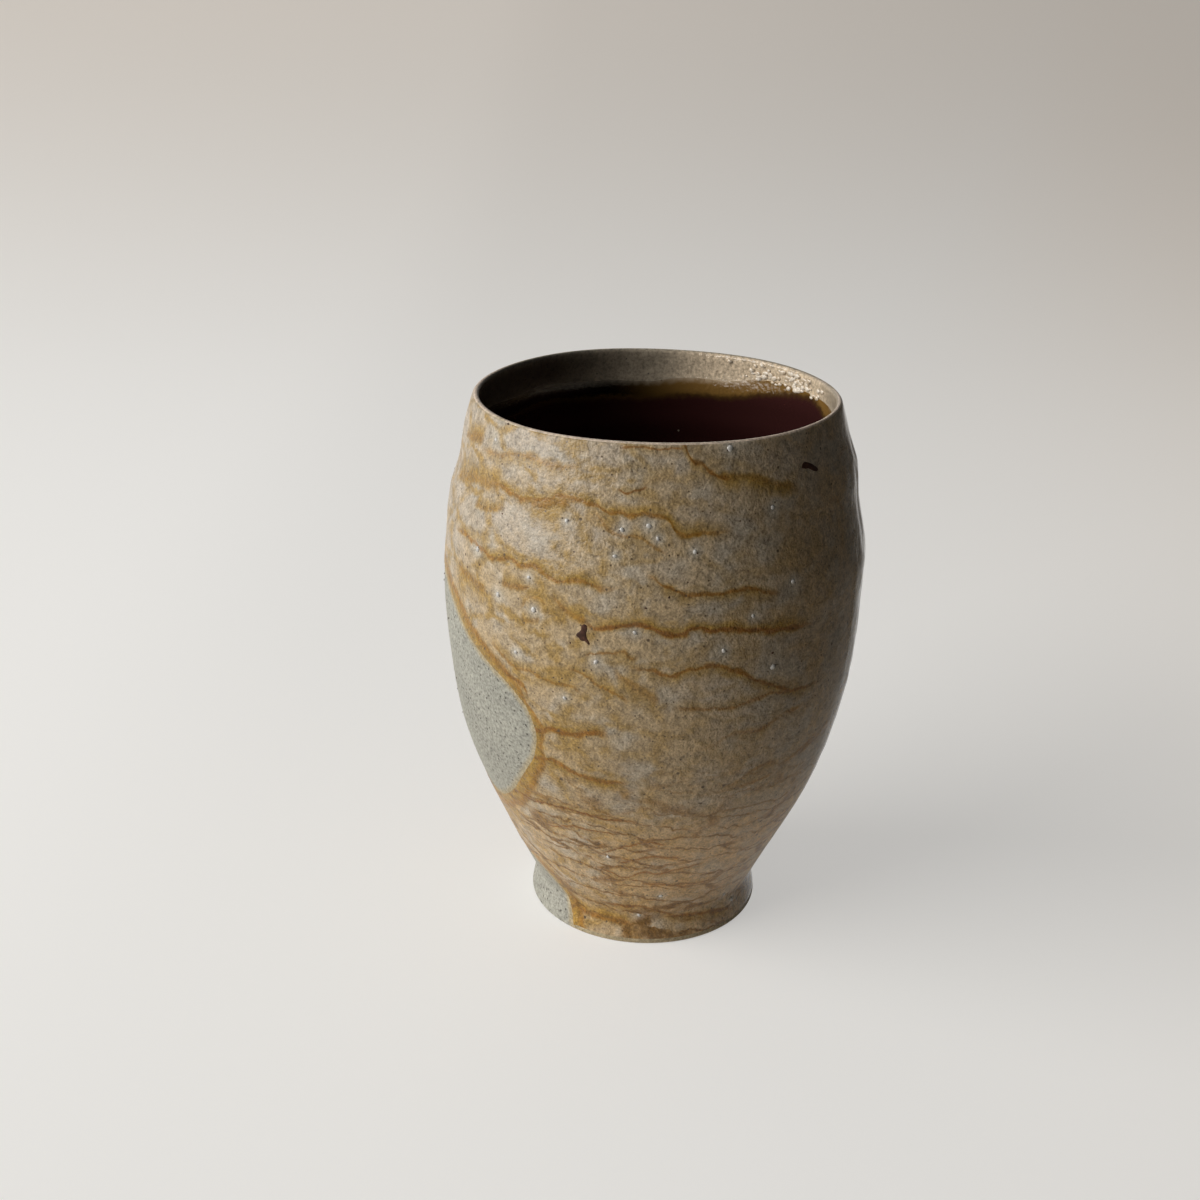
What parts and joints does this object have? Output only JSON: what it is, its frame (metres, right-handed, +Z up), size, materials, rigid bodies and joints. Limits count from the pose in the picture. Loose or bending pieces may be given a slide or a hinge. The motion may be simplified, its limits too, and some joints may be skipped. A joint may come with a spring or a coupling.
{
  "type": "beer tumbler",
  "caption": "Handleless stoneware beer tumbler with a rounded belly, a narrow waist over a low foot ring, a dark glazed inside and a veined ash coat with bare clay patches.",
  "frame": {"origin": "centre of the foot's resting face, on the turning axis", "axes": "+Z up along the turning axis, from foot to rim; the front, as pictured, faces -Y, with +X to its right and the bare wall patch towards -X"},
  "size_m": [0.0834, 0.0834, 0.11],
  "materials": {
    "body_clay": "bare fired stoneware, matt, with fine dark specks",
    "foot_clay": "bare fired stoneware, matt, rubbed smooth on the resting face",
    "iron_glaze": "glossy dark iron glaze, breaking amber at its upper line",
    "fly_ash": "satin natural ash, grey-beige with ochre veins and white feldspar stones"
  },
  "bodies": {
    "root": {"thrown_body": "body_clay", "foot_ring": "foot_clay", "liner_glaze": "iron_glaze", "ash_coat": "fly_ash"}
  },
  "joints": []
}
